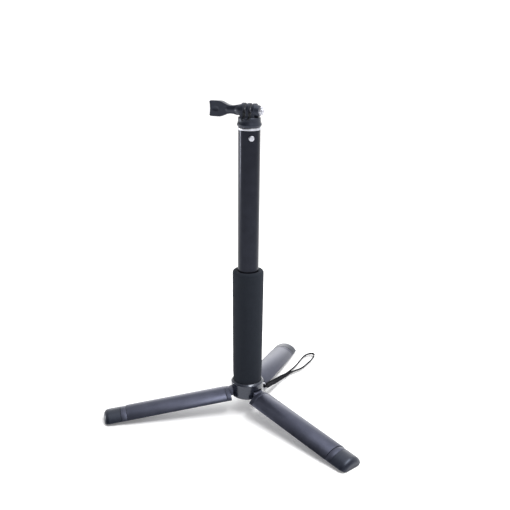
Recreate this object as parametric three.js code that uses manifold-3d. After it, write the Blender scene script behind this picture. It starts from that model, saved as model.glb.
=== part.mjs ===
// Telescopic selfie stick with a fold-out mini tripod, a foam grip and an action-camera fork.
// Millimetres, +Z up. The origin is the floor point under the pole's axis.
// Heights below are drawn from a datum that stands LIFT above the floor.
// Rest pose: pole closed, legs open and standing, camera fork empty.

import * as THREE from 'three';
import Module from 'manifold-3d';
import { mergeVertices } from 'three/addons/utils/BufferGeometryUtils.js';

// ---------------------------------------------------------------- dimensions

const LIFT = 1.4;

// Pole sections, outermost first: outer radius, wall, lower end.
const SECTION_R = [11.65, 8.8, 7.2, 5.6];
const SECTION_WALL = [0.9, 0.6, 0.6, 0.6];
const SECTION_BOTTOM = [33.3, 44, 48, 52];
const POLE_TOP = 327.2;
const INNER_TOP = 329.4;

const RING_HEIGHT = 2.4;
const GUIDE_LENGTH = 27;
const SLIDER_LENGTH = 12;
const SLIDE_GAP = 0.15;

const GRIP_R = 17.4;
const GRIP_LOW_R = 16.8;
const GRIP_TOP = 172.8;
const GRIP_NECK_R = 16.0;

const HUB_R = 19.0;
const HUB_BOTTOM = 18.5;
const HUB_RIM = 35.6;
const HUB_TOP = 37.9;
const HUB_CHAMFER = 1.2;
const SOCKET_R = 16.6;
const SOCKET_FLOOR = 33.0;
const COLUMN_R = 7.6;
const SLOT_HALF = 6.3;
const SLOT_TOP = 29.6;
const COVER_TOP = 20.8;
const COVER_R = 17.2;

const TRIPOD_SCREW_R = 3.1;
const TRIPOD_SCREW_TOP = 41.5;

// Legs: the section is a third of a cylinder, so three folded legs close into a rod.
const LEG_AZIMUTHS = [191.2, 311.2, 71.2];
const LEG_TILT = 6.8;
const LEG_R = 18.8;
const LEG_WALL = 1.6;
const LEG_CORE_R = 5.5;
const LEG_SIDE_GAP = 0.3;
const LEG_START = 6.75;
const LEG_END = 154.6;
const SHOULDER_LENGTH = 5.6;
const CAP_LENGTH = 19.3;
const CAP_BAND = 7.0;
const PIVOT_R = 14.65;
const PIVOT_Z = 24.65;
const PIN_R = 1.3;
const PIN_HALF = 8.5;
const EYE_R = 4.3;
const TONGUE_HALF = 6.0;
const SOLE_THICKNESS = 1.9;

// Fork for an action camera: three prongs of 15 mm on a 5 mm cross bolt.
const FORK_AXIS_Z = 346.5;
const FORK_YAW = -24;
const PRONG_R = 7.5;
const PRONG_PITCH = 6.1;
const PRONG_THICKNESS = 3.0;
const SLOT_FLOOR_Z = 337.8;
const HEAD_BOTTOM = 329.9;
const HEAD_R = 11.8;
const HEAD_FLANGE_R = 12.95;
const BOLT_R = 2.4;
const STUD_R = 3.1;

const BUTTON_AZIMUTH = 282;
const BUTTON_Z = 319.5;
const BUTTON_R = 2.75;

const LUG_AZIMUTH = 11.2;
const LUG_R = 21.3;
const LUG_WIRE_R = 0.75;
const LUG_BOTTOM = 21.8;
const LUG_TOP = 29.2;

const STRAP_WIDTH = 5.3;
const STRAP_GATHERED = 3.0;
const STRAP_THICKNESS = 1.0;

const ROUND = 40;
const RAD = Math.PI / 180;

// ------------------------------------------------------------------- helpers

const wasm = await Module();
wasm.setup();

/** Merge doubled vertices and turn every face outwards. */
function closed(geometry) {
  geometry.deleteAttribute('normal');
  geometry.deleteAttribute('uv');
  const merged = mergeVertices(geometry, 1e-4);
  const pos = merged.attributes.position;
  const index = merged.index.array;
  const kept = [];
  let volume = 0;
  const [a, b, c] = [new THREE.Vector3(), new THREE.Vector3(), new THREE.Vector3()];
  for (let i = 0; i < index.length; i += 3) {
    const [p, q, r] = [index[i], index[i + 1], index[i + 2]];
    if (p === q || q === r || r === p) continue;
    a.fromBufferAttribute(pos, p);
    b.fromBufferAttribute(pos, q);
    c.fromBufferAttribute(pos, r);
    volume += a.dot(b.cross(c));
    kept.push(p, q, r);
  }
  if (volume < 0) {
    for (let i = 0; i < kept.length; i += 3) {
      [kept[i], kept[i + 1]] = [kept[i + 1], kept[i]];
    }
  }
  merged.setIndex(kept);
  merged.computeVertexNormals();
  return merged;
}

/** A body of revolution about Z from [radius, z] points; a ring's outline closes on itself. */
function turned(outline, segments = ROUND) {
  const points = outline.map(([r, z]) => new THREE.Vector2(r, z));
  const onAxis = outline[0][0] === 0 && outline[outline.length - 1][0] === 0;
  if (!onAxis) points.push(points[0].clone());
  const geometry = new THREE.LatheGeometry(points, segments);
  geometry.rotateX(Math.PI / 2);
  return closed(geometry);
}

/** A tube between two heights. */
function ring(inner, outer, bottom, top, segments = ROUND) {
  return turned([[inner, bottom], [outer, bottom], [outer, top], [inner, top]], segments);
}

/** A rod along Z. */
function rod(radius, bottom, top, segments = ROUND) {
  return turned([[0, bottom], [radius, bottom], [radius, top], [0, top]], segments);
}

function block(x0, x1, y0, y1, z0, z1) {
  const geometry = new THREE.BoxGeometry(x1 - x0, y1 - y0, z1 - z0);
  geometry.translate((x0 + x1) / 2, (y0 + y1) / 2, (z0 + z1) / 2);
  return closed(geometry);
}

/** Extrude a flat outline of [u, v] points, with holes, along the shape's own third axis. */
function extruded(outline, depth, holes = []) {
  const shape = new THREE.Shape(outline.map(([u, v]) => new THREE.Vector2(u, v)));
  for (const hole of holes) {
    shape.holes.push(new THREE.Path(hole.map(([u, v]) => new THREE.Vector2(u, v))));
  }
  return new THREE.ExtrudeGeometry(shape, { depth, bevelEnabled: false });
}

/** Outline in the X-Z plane, extruded along Y between two values. */
function extrudedAlongY(outline, y0, y1) {
  const geometry = extruded(outline, y1 - y0);
  geometry.rotateX(Math.PI / 2);
  geometry.translate(0, y1, 0);
  return closed(geometry);
}

/** Outline in the Y-Z plane, extruded along X between two values. */
function extrudedAlongX(outline, x0, x1, holes = []) {
  const geometry = extruded(outline, x1 - x0, holes);
  const axes = new THREE.Matrix4().makeBasis(
    new THREE.Vector3(0, 1, 0),
    new THREE.Vector3(0, 0, 1),
    new THREE.Vector3(1, 0, 0),
  );
  geometry.applyMatrix4(axes);
  geometry.translate(x0, 0, 0);
  return closed(geometry);
}

function body(geometry) {
  return new wasm.Manifold(new wasm.Mesh({
    numProp: 3,
    vertProperties: new Float32Array(geometry.attributes.position.array),
    triVerts: new Uint32Array(geometry.index.array),
  }));
}

function joined(...parts) {
  return parts.map(body).reduce((sum, part) => sum.add(part));
}

/** Cut every tool away from a body. */
function cut(start, ...tools) {
  return tools.map(body).reduce((left, tool) => left.subtract(tool), start);
}

function fromBody(manifold) {
  const mesh = manifold.getMesh();
  const geometry = new THREE.BufferGeometry();
  geometry.setAttribute('position', new THREE.BufferAttribute(mesh.vertProperties, 3));
  geometry.setIndex(new THREE.BufferAttribute(mesh.triVerts, 1));
  return closed(geometry);
}

/** Turn geometry about Z by degrees. */
function atAzimuth(geometry, degrees) {
  return geometry.clone().rotateZ(degrees * RAD);
}

/** Arc of points about [u, v] in degrees, both ends included. */
function arc(u, v, radius, from, to, steps) {
  const points = [];
  for (let i = 0; i <= steps; i += 1) {
    const angle = (from + (to - from) * i / steps) * RAD;
    points.push([u + radius * Math.cos(angle), v + radius * Math.sin(angle)]);
  }
  return points;
}

// ---------------------------------------------------------------- materials

const materials = {
  anodised: { color: 0x2b2f36, metalness: 0.6, roughness: 0.4 },
  legMetal: { color: 0x50545f, metalness: 0.7, roughness: 0.45 },
  steel: { color: 0xb9bdc2, metalness: 1, roughness: 0.3 },
  plastic: { color: 0x24272c, metalness: 0, roughness: 0.5 },
  hubPlastic: { color: 0x3f434a, metalness: 0.1, roughness: 0.45 },
  foam: { color: 0x1f2226, metalness: 0, roughness: 0.9 },
  rubber: { color: 0x26282c, metalness: 0, roughness: 0.8 },
  brass: { color: 0xb08d4c, metalness: 1, roughness: 0.35 },
  acetal: { color: 0xe4e4df, metalness: 0, roughness: 0.5 },
  webbing: { color: 0x14161a, metalness: 0, roughness: 0.9 },
};
for (const [name, values] of Object.entries(materials)) {
  materials[name] = new THREE.MeshStandardMaterial({ name, ...values });
}

const part = new THREE.Group();
part.name = 'selfie_stick';

function add(name, geometry, material) {
  const mesh = new THREE.Mesh(geometry, materials[material]);
  mesh.name = name;
  geometry.translate(0, 0, LIFT);
  part.add(mesh);
}

// --------------------------------------------------------------------- pole

const sectionInner = SECTION_R.map((r, i) => r - SECTION_WALL[i]);

/** A hole cutter that points outwards at the button's place. */
function buttonTool(radius, from, to, z = BUTTON_Z) {
  const tool = rod(radius, from, to, 24);
  tool.rotateY(Math.PI / 2);
  tool.translate(0, 0, z);
  return atAzimuth(tool, BUTTON_AZIMUTH);
}

const outerTube = cut(
  body(ring(sectionInner[0], SECTION_R[0], SECTION_BOTTOM[0], POLE_TOP)),
  buttonTool(BUTTON_R + 0.3, 6, 20),
);
add('outer_tube', fromBody(outerTube), 'anodised');

add('trim_ring', turned([
  [SECTION_R[1] + SLIDE_GAP, POLE_TOP - 2.4],
  [sectionInner[0] - 0.1, POLE_TOP - 2.4],
  [sectionInner[0] - 0.1, POLE_TOP + 0.05],
  [SECTION_R[0] + 0.1, POLE_TOP + 0.05],
  [SECTION_R[0] + 0.15, POLE_TOP + 0.3],
  [SECTION_R[0] + 0.15, POLE_TOP + RING_HEIGHT - 0.4],
  [SECTION_R[0] - 0.1, POLE_TOP + RING_HEIGHT],
  [SECTION_R[1] + SLIDE_GAP, POLE_TOP + RING_HEIGHT],
]), 'steel');

const guideTop = POLE_TOP - 2.6;
const guideBottom = guideTop - GUIDE_LENGTH;
const outerGuide = cut(
  body(ring(SECTION_R[1] + SLIDE_GAP, sectionInner[0] - 0.05, guideBottom, guideTop)),
  buttonTool(BUTTON_R + 1.3, 4, 20),
);
add('outer_tube_guide', fromBody(outerGuide), 'acetal');

const flangeShell = body(ring(10.3, 10.65, BUTTON_Z - 8, BUTTON_Z + 8));
const buttonFlange = flangeShell.intersect(body(buttonTool(BUTTON_R + 1.05, 5, 15)));
const buttonHead = cut(
  joined(buttonTool(BUTTON_R, 6, 12.3), buttonTool(BUTTON_R - 0.5, 12.2, 12.65)),
  rod(10.45, BUTTON_Z - 10, BUTTON_Z + 10),
);
add('lock_button', fromBody(buttonFlange.add(buttonHead)), 'steel');

const gripInner = SECTION_R[0] + 0.05;
add('foam_grip', turned([
  [gripInner, SECTION_BOTTOM[0]],
  [GRIP_NECK_R - 0.4, SECTION_BOTTOM[0]],
  [GRIP_NECK_R, SECTION_BOTTOM[0] + 1.5],
  [GRIP_NECK_R + 0.2, HUB_TOP],
  [GRIP_LOW_R - 0.3, HUB_TOP + 5],
  [GRIP_LOW_R, HUB_TOP + 11],
  ...arc(GRIP_R - 2.6, GRIP_TOP - 2.6, 2.6, 0, 90, 5),
  [gripInner + 0.8, GRIP_TOP],
  [gripInner, GRIP_TOP - 0.8],
]), 'foam');

const plugR = sectionInner[0] - 0.05;
const INSERT_R = TRIPOD_SCREW_R + 2;
add('pole_plug', turned([
  [INSERT_R + 0.05, SECTION_BOTTOM[0]],
  [plugR, SECTION_BOTTOM[0]],
  [plugR, 43.2],
  [INSERT_R - 1, 43.2],
  [INSERT_R - 1, 42.1],
  [INSERT_R + 0.05, 42.1],
]), 'plastic');
add('pole_insert', ring(TRIPOD_SCREW_R + 0.2, INSERT_R, SECTION_BOTTOM[0], 42, 32), 'brass');

// Each inner section: tube, slider at its foot, guide at its mouth for the next one.
for (let i = 1; i <= 3; i += 1) {
  const name = `section_${i + 1}`;
  const tube = body(ring(sectionInner[i], SECTION_R[i], SECTION_BOTTOM[i], INNER_TOP));
  add(`${name}_tube`, fromBody(tube), 'anodised');
  const slider = [
    [SECTION_R[i] + 0.05, SECTION_BOTTOM[i]],
    [sectionInner[i - 1] - SLIDE_GAP, SECTION_BOTTOM[i]],
    [sectionInner[i - 1] - SLIDE_GAP, SECTION_BOTTOM[i] + SLIDER_LENGTH - 0.6],
    [sectionInner[i - 1] - SLIDE_GAP - 0.4, SECTION_BOTTOM[i] + SLIDER_LENGTH],
    [SECTION_R[i] + 0.05, SECTION_BOTTOM[i] + SLIDER_LENGTH],
  ];
  add(`${name}_slider`, turned(slider), 'acetal');
  if (i < 3) {
    const bore = SECTION_R[i + 1] + SLIDE_GAP;
    const guide = ring(bore, sectionInner[i] - 0.05, guideBottom, INNER_TOP - 0.4);
    add(`${name}_guide`, guide, 'acetal');
  }
}

// ----------------------------------------------------------- head and screw

// The top plug closes the thinnest section; the head screws on its stud.
add('head_stud', turned([
  [0, 314],
  [sectionInner[3] - 0.05, 314],
  [sectionInner[3] - 0.05, INNER_TOP + 0.05],
  [7.6, INNER_TOP + 0.05],
  [7.6, INNER_TOP + 1.9],
  [STUD_R, INNER_TOP + 1.9],
  [STUD_R, 336.3],
  [STUD_R - 0.5, 336.8],
  [0, 336.8],
]), 'steel');

/** Place geometry that is built along +X about the cross bolt's axis. */
function onBolt(geometry) {
  return geometry.clone().rotateZ(FORK_YAW * RAD).translate(0, 0, FORK_AXIS_Z);
}

const headBase = turned([
  [0, HEAD_BOTTOM],
  [HEAD_R - 0.2, HEAD_BOTTOM],
  [HEAD_FLANGE_R - 0.3, HEAD_BOTTOM + 1.6],
  [HEAD_FLANGE_R, HEAD_BOTTOM + 2.4],
  [HEAD_FLANGE_R - 0.1, HEAD_BOTTOM + 3.2],
  [HEAD_R + 0.2, HEAD_BOTTOM + 5.4],
  [HEAD_R, HEAD_BOTTOM + 6.4],
  [HEAD_R, 339.2],
  [HEAD_R - 0.5, 340.1],
  [0, 340.1],
]);

const prongSide = [
  [-PRONG_R, -10],
  [PRONG_R, -10],
  ...arc(0, 0, PRONG_R, 0, 180, 18),
];
const prongs = [-1, 0, 1].map((k) => {
  const x = k * PRONG_PITCH;
  return onBolt(extrudedAlongX(prongSide, x - PRONG_THICKNESS / 2, x + PRONG_THICKNESS / 2));
});
const prongOuter = PRONG_PITCH + PRONG_THICKNESS / 2;

/** A round bar along the bolt's axis, from [radius, x] points. */
function alongBolt(outline, segments = 32) {
  const geometry = turned(outline, segments);
  geometry.rotateY(Math.PI / 2);
  return onBolt(geometry);
}

const BOSS_END = prongOuter + 4.2;
const nutBoss = alongBolt([
  [0, prongOuter - 0.5],
  [6.6, prongOuter - 0.5],
  [6.4, prongOuter + 0.8],
  [5.5, BOSS_END - 0.4],
  [5.1, BOSS_END],
  [0, BOSS_END],
]);
const nutFlats = 4.0;
const hexR = nutFlats / Math.cos(30 * RAD);
const nutPocket = alongBolt([
  [0, prongOuter + 1.4],
  [hexR + 0.2, prongOuter + 1.4],
  [hexR + 0.2, BOSS_END + 3],
  [0, BOSS_END + 3],
], 6);

const slots = [-0.5, 0.5].map((k) => {
  const half = (PRONG_PITCH - PRONG_THICKNESS) / 2;
  const x = k * PRONG_PITCH;
  const slot = block(x - half, x + half, -14, 14, SLOT_FLOOR_Z - FORK_AXIS_Z, 12);
  return onBolt(slot);
});
const studBore = turned([
  [0, HEAD_BOTTOM - 1],
  [7.9, HEAD_BOTTOM - 1],
  [7.9, INNER_TOP + 2.2],
  [STUD_R + 0.3, INNER_TOP + 2.2],
  [STUD_R + 0.3, 337.2],
  [0, 337.2],
]);
const fork = cut(
  joined(headBase, ...prongs, nutBoss),
  ...slots,
  alongBolt([[0, -30], [BOLT_R + 0.3, -30], [BOLT_R + 0.3, 30], [0, 30]]),
  nutPocket,
  studBore,
);
add('head_fork', fromBody(fork), 'plastic');

const nut = cut(
  body(alongBolt([
    [0, prongOuter + 1.7],
    [hexR, prongOuter + 1.7],
    [hexR, prongOuter + 6.3],
    [hexR - 0.7, prongOuter + 6.7],
    [0, prongOuter + 6.7],
  ], 6)),
  alongBolt([[0, 0], [BOLT_R + 0.2, 0], [BOLT_R + 0.2, 30], [0, 30]]),
);
add('head_nut', fromBody(nut), 'steel');

const KNOB_FACE = -prongOuter - 0.5;
add('thumb_bolt', alongBolt([
  [0, -20],
  [2.9, -20],
  [2.9, -14],
  [BOLT_R, -14],
  [BOLT_R, prongOuter + 7.2],
  [BOLT_R - 0.5, prongOuter + 7.7],
  [0, prongOuter + 7.7],
]), 'steel');

// Paddle knob: a round collar by the prong, a waist, and a blade that flares to its end.
const bladeHalf = [
  [-12, 5.3],
  [-14.5, 4.8],
  [-17, 4.3],
  [-20, 4.15],
  [-23, 4.5],
  [-26, 5.4],
  [-29, 6.8],
  [-31, 7.6],
  [-33, 8.0],
  [-43.6, 8.0],
  [-44.7, 7.1],
  [-44.3, 4],
  [-44.0, 0],
];
const bladeOutline = [...bladeHalf, ...bladeHalf.slice(0, -1).reverse().map(([u, v]) => [u, -v])];
const blade = onBolt(extrudedAlongY(bladeOutline, -3.1, 3.1));
const collar = alongBolt([
  [0, -15.5],
  [3.9, -15.5],
  [5.3, -12.5],
  [5.9, KNOB_FACE - 2],
  [5.9, KNOB_FACE - 0.4],
  [5.5, KNOB_FACE],
  [0, KNOB_FACE],
]);
const waist = alongBolt([
  [0, -30],
  [2.4, -29],
  [4.0, -23.5],
  [4.0, -15],
  [0, -15],
]);
const dimple = (side) => {
  const scoop = new THREE.SphereGeometry(14, 32, 20);
  scoop.scale(1, 1, 0.7);
  scoop.translate(-37.5, side * 16.5, 0);
  return onBolt(closed(scoop));
};
const knob = cut(
  joined(blade, collar, waist),
  alongBolt([[0, -20.2], [3.05, -20.2], [3.05, -13.8], [0, -13.8]]),
  alongBolt([[0, -14], [BOLT_R + 0.2, -14], [BOLT_R + 0.2, 0], [0, 0]]),
  dimple(-1),
  dimple(1),
);
add('thumb_knob', fromBody(knob), 'plastic');

// ---------------------------------------------------------------------- hub

/** Turn geometry from the X axis to each leg's azimuth. */
const forEachLeg = (make) => LEG_AZIMUTHS.map((azimuth) => atAzimuth(make(), azimuth));

const hubShell = turned([
  [0, HUB_BOTTOM],
  [HUB_R - HUB_CHAMFER, HUB_BOTTOM],
  [HUB_R, HUB_BOTTOM + HUB_CHAMFER],
  [HUB_R, HUB_RIM],
  ...arc(HUB_R - 2.3, HUB_RIM, 2.3, 12, 84, 6),
  [SOCKET_R, HUB_TOP],
  [SOCKET_R, SOCKET_FLOOR],
  [0, SOCKET_FLOOR],
], 60);

/** A trough open to the underside, with a round top, that takes one hinge pin. */
function pinTrough() {
  const r = PIN_R + 0.1;
  const outline = [
    [PIVOT_R - r, HUB_BOTTOM - 1],
    [PIVOT_R + r, HUB_BOTTOM - 1],
    ...arc(PIVOT_R, PIVOT_Z, r, 0, 180, 12),
  ];
  return extrudedAlongY(outline, -PIN_HALF - 0.3, PIN_HALF + 0.3);
}
const hub = cut(
  body(hubShell),
  rod(COVER_R, HUB_BOTTOM - 1, COVER_TOP + 0.05, 60),
  rod(5.0, HUB_BOTTOM - 1, 25.1),
  rod(TRIPOD_SCREW_R + 0.2, HUB_BOTTOM - 1, SOCKET_FLOOR + 1),
  ...forEachLeg(() => block(COLUMN_R, 24, -SLOT_HALF, SLOT_HALF, HUB_BOTTOM - 1, SLOT_TOP)),
  ...forEachLeg(pinTrough),
  ...forEachLeg(() => rod(1.25, 19, 29, 20).translate(-13.5, 0, 0)),
  ...[LUG_BOTTOM, LUG_TOP].map((z) => {
    const hole = rod(LUG_WIRE_R + 0.1, 15.7, 25, 20).rotateY(Math.PI / 2).translate(0, 0, z);
    return atAzimuth(hole, LUG_AZIMUTH);
  }),
);
add('hub_body', fromBody(hub), 'hubPlastic');

// The cover closes the hub from below; its ribs hold the pins in their troughs.
const cover = cut(
  joined(
    rod(COVER_R - 0.2, HUB_BOTTOM, COVER_TOP, 60),
    ...[-1, 1].flatMap((side) => forEachLeg(() => {
      const [y0, y1] = side < 0 ? [-PIN_HALF, -6.7] : [6.7, PIN_HALF];
      return block(PIVOT_R - 1.2, PIVOT_R + 1.2, y0, y1, COVER_TOP - 0.5, 23.2);
    })),
  ),
  ...forEachLeg(() => block(COLUMN_R, 24, -SLOT_HALF, SLOT_HALF, HUB_BOTTOM - 1, SLOT_TOP)),
  rod(2.6, HUB_BOTTOM - 1, COVER_TOP + 1, 24),
  ...forEachLeg(() => turned([
    [0, HUB_BOTTOM - 1],
    [2.45, HUB_BOTTOM - 1],
    [2.45, HUB_BOTTOM + 0.7],
    [1.35, HUB_BOTTOM + 1.8],
    [1.35, COVER_TOP + 1],
    [0, COVER_TOP + 1],
  ], 20).translate(-13.5, 0, 0)),
);
add('hub_cover', fromBody(cover), 'hubPlastic');

LEG_AZIMUTHS.forEach((azimuth, i) => {
  const screw = turned([
    [0, HUB_BOTTOM + 0.3],
    [2.25, HUB_BOTTOM + 0.3],
    [2.25, HUB_BOTTOM + 0.6],
    [1.1, HUB_BOTTOM + 1.75],
    [1.1, 27.5],
    [0, 28.2],
  ], 20).translate(-13.5, 0, 0);
  add(`cover_screw_${i + 1}`, atAzimuth(screw, azimuth), 'steel');
  const pin = rod(PIN_R, -PIN_HALF, PIN_HALF, 24).rotateX(Math.PI / 2);
  pin.translate(PIVOT_R, 0, PIVOT_Z);
  add(`hinge_pin_${i + 1}`, atAzimuth(pin, azimuth), 'steel');
});

add('tripod_screw', turned([
  [0, 21.1],
  [4.7, 21.1],
  [4.7, 24.8],
  [TRIPOD_SCREW_R, 24.8],
  [TRIPOD_SCREW_R, TRIPOD_SCREW_TOP - 0.7],
  [TRIPOD_SCREW_R - 0.7, TRIPOD_SCREW_TOP],
  [0, TRIPOD_SCREW_TOP],
], 32), 'steel');

// --------------------------------------------------------------------- legs

/** Outline of a leg's section about the folded axis, shrunk all round by an inset. */
function sector(radius, coreR, inset = 0) {
  const gap = LEG_SIDE_GAP + inset;
  const r = radius - inset;
  const half = 60 - Math.asin(gap / r) / RAD;
  const centre = -PIVOT_R;
  const low = coreR + inset;
  const chord = low * Math.tan(60 * RAD) - gap / Math.cos(60 * RAD);
  return [
    [-chord, centre + low],
    [chord, centre + low],
    ...arc(0, centre, r, 90 - half, 90 + half, 20),
  ];
}

/** Tilt a leg piece to its open angle, hang it on its pivot and turn it to its azimuth. */
function onLeg(geometry, azimuth) {
  const placed = geometry.clone().rotateY(LEG_TILT * RAD);
  placed.translate(PIVOT_R, 0, PIVOT_Z);
  return atAzimuth(placed, azimuth);
}

const tubeStart = LEG_START + SHOULDER_LENGTH;
const tubeEnd = LEG_END - CAP_LENGTH - CAP_BAND;
const legTube = extrudedAlongX(
  sector(LEG_R, LEG_CORE_R),
  tubeStart,
  tubeEnd,
  [sector(LEG_R, LEG_CORE_R, LEG_WALL).reverse()],
);

const tongueSide = [
  [0, EYE_R],
  [LEG_START + 0.5, 2.6],
  [LEG_START + 0.5, -EYE_R],
  [0, -EYE_R],
];
const knuckle = cut(
  joined(
    extrudedAlongX(sector(LEG_R - 0.4, LEG_CORE_R + 0.3), LEG_START, tubeStart - 0.1),
    extrudedAlongX(sector(LEG_R, LEG_CORE_R, LEG_WALL + 0.1), tubeStart - 0.2, tubeStart + 14),
    extrudedAlongY(tongueSide, -TONGUE_HALF, TONGUE_HALF),
    rod(EYE_R, -TONGUE_HALF, TONGUE_HALF, 32).rotateX(Math.PI / 2),
  ),
  rod(PIN_R + 0.15, -10, 10, 24).rotateX(Math.PI / 2),
);
const knuckleGeometry = fromBody(knuckle);

// The foot: an end fitting with a rounded nose, cut level with the floor when the leg is open.
const noseSide = [
  [tubeEnd - 12, -20],
  [LEG_END, -20],
  [LEG_END, -8],
  [LEG_END - 0.4, -2.5],
  ...arc(LEG_END - 5.6, LEG_R - PIVOT_R - 5.4, 5, 12, 90, 7),
  [tubeEnd - 12, LEG_R - PIVOT_R - 0.4],
];
const NOSE_HALF = 15.7;
const nosePlan = [
  [tubeEnd - 12, -NOSE_HALF],
  ...arc(LEG_END - 6.4, -NOSE_HALF + 6, 6, -90, -16, 6),
  [LEG_END - 0.1, -4.5],
  [LEG_END - 0.1, 4.5],
  ...arc(LEG_END - 6.4, NOSE_HALF - 6, 6, 16, 90, 6),
  [tubeEnd - 12, NOSE_HALF],
];
const noseFromAbove = closed(extruded(nosePlan, 60).translate(0, 0, -40));

/** The slab between two floor heights, in the leg's own axes. */
function floorSlab(bottom, top) {
  const slab = block(100, 175, -25, 25, bottom, top);
  slab.translate(-PIVOT_R, 0, -PIVOT_Z);
  slab.rotateY(-LEG_TILT * RAD);
  return body(slab);
}

const footSolid = body(extrudedAlongX(sector(LEG_R - 0.45, 1.2), tubeEnd + 0.1, LEG_END))
  .intersect(body(extrudedAlongY(noseSide, -20, 20)))
  .intersect(body(noseFromAbove));
const footSpigot = body(
  extrudedAlongX(sector(LEG_R, LEG_CORE_R, LEG_WALL + 0.1), tubeEnd - 12, tubeEnd + 0.5),
);
const bandEnd = tubeEnd + CAP_BAND;
const bandBlock = body(block(tubeEnd - 14, bandEnd - 0.05, -25, 25, -30, 20));
const capBlock = body(block(bandEnd + 0.05, LEG_END + 2, -25, 25, -30, 20));
const bandTrim = body(extrudedAlongX(sector(LEG_R - 0.7, LEG_CORE_R), tubeEnd - 14, LEG_END));
const footBand = footSolid.intersect(bandBlock).intersect(bandTrim).add(footSpigot)
  .add(body(extrudedAlongX(sector(LEG_R, LEG_CORE_R, 5), bandEnd - 1, bandEnd + 9)));
const capHollow = body(extrudedAlongX(sector(LEG_R, LEG_CORE_R, 4.9), bandEnd - 1, bandEnd + 9.2));
const footCap = footSolid.intersect(capBlock)
  .intersect(floorSlab(SOLE_THICKNESS - LIFT, 60))
  .subtract(capHollow);
const soleArea = body(block(bandEnd + 0.6, LEG_END - 0.7, -25, 25, -30, 20));
const footSole = footSolid.intersect(soleArea)
  .intersect(floorSlab(-LIFT, SOLE_THICKNESS - LIFT - 0.05));
const footBandGeometry = fromBody(footBand);
const footCapGeometry = fromBody(footCap);
const footSoleGeometry = fromBody(footSole);

LEG_AZIMUTHS.forEach((azimuth, i) => {
  const name = `leg_${i + 1}`;
  add(`${name}_knuckle`, onLeg(knuckleGeometry, azimuth), 'hubPlastic');
  add(`${name}_tube`, onLeg(legTube, azimuth), 'legMetal');
  add(`${name}_end_fitting`, onLeg(footBandGeometry, azimuth), 'plastic');
  add(`${name}_foot_cap`, onLeg(footCapGeometry, azimuth), 'rubber');
  add(`${name}_sole`, onLeg(footSoleGeometry, azimuth), 'rubber');
});

// -------------------------------------------------------------- lug and strap

// A bent wire staple: two legs in the hub and an upright bar that holds the strap.
const lugBend = 1.0;
const lugPath = new THREE.CurvePath();
const lugPoints = [
  new THREE.Vector3(16, 0, LUG_BOTTOM),
  new THREE.Vector3(LUG_R - lugBend, 0, LUG_BOTTOM),
  new THREE.Vector3(LUG_R, 0, LUG_BOTTOM + lugBend),
  new THREE.Vector3(LUG_R, 0, LUG_TOP - lugBend),
  new THREE.Vector3(LUG_R - lugBend, 0, LUG_TOP),
  new THREE.Vector3(16, 0, LUG_TOP),
];
lugPath.add(new THREE.LineCurve3(lugPoints[0], lugPoints[1]));
lugPath.add(new THREE.QuadraticBezierCurve3(
  lugPoints[1],
  new THREE.Vector3(LUG_R, 0, LUG_BOTTOM),
  lugPoints[2],
));
lugPath.add(new THREE.LineCurve3(lugPoints[2], lugPoints[3]));
lugPath.add(new THREE.QuadraticBezierCurve3(
  lugPoints[3],
  new THREE.Vector3(LUG_R, 0, LUG_TOP),
  lugPoints[4],
));
lugPath.add(new THREE.LineCurve3(lugPoints[4], lugPoints[5]));
const wireSection = new THREE.Shape();
wireSection.absarc(0, 0, LUG_WIRE_R, 0, 2 * Math.PI);
const lug = new THREE.ExtrudeGeometry(wireSection, {
  extrudePath: lugPath,
  steps: 24,
  curveSegments: 6,
  bevelEnabled: false,
});
add('strap_lug', atAzimuth(closed(lug), LUG_AZIMUTH), 'steel');

// The wrist strap: one flat band round the lug's bar, doubled near the hub, then an open loop
// that lies on the floor. It stands on edge at the lug and leans over further out.
const strapOut = [
  [19.4, 3.6, 25.5],
  [20.0, 2.8, 25.5],
  [21.2, 2.55, 25.5],
  [22.3, 3.4, 25.4],
  [22.9, 4.6, 25.1],
  [25.0, 9.0, 23.2],
  [30.6, 26.0, 17.5],
  [35.1, 38.6, 13.0],
  [43.6, 59.0, 7.4],
  [50.6, 72.6, 4.2],
  [56.6, 84.0, 2.4],
];
const strapBack = [
  [19.3, 4.15, 25.5],
  [19.5, 5.1, 25.5],
  [20.3, 5.9, 25.4],
  [21.3, 7.2, 24.9],
  [23.0, 10.2, 23.2],
  [28.7, 26.9, 17.7],
  [33.2, 39.6, 13.3],
  [41.7, 60.0, 7.6],
  [48.7, 73.6, 4.3],
  [54.6, 86.4, 2.4],
  [63.1, 102.4, 1.9],
  [70.3, 118.6, 1.9],
  [77.0, 133.0, 1.9],
  [82.9, 139.4, 1.9],
  [88.4, 140.9, 1.9],
  [90.8, 136.2, 1.9],
  [88.9, 129.5, 1.9],
  [85.9, 122.0, 1.9],
  [81.4, 113.5, 1.9],
  [71.2, 97.4, 1.9],
];
const strapPoints = [...strapBack, ...strapOut.reverse()].map((p) => new THREE.Vector3(...p));
const strapCurve = new THREE.CatmullRomCurve3(strapPoints, false, 'centripetal');

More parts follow.
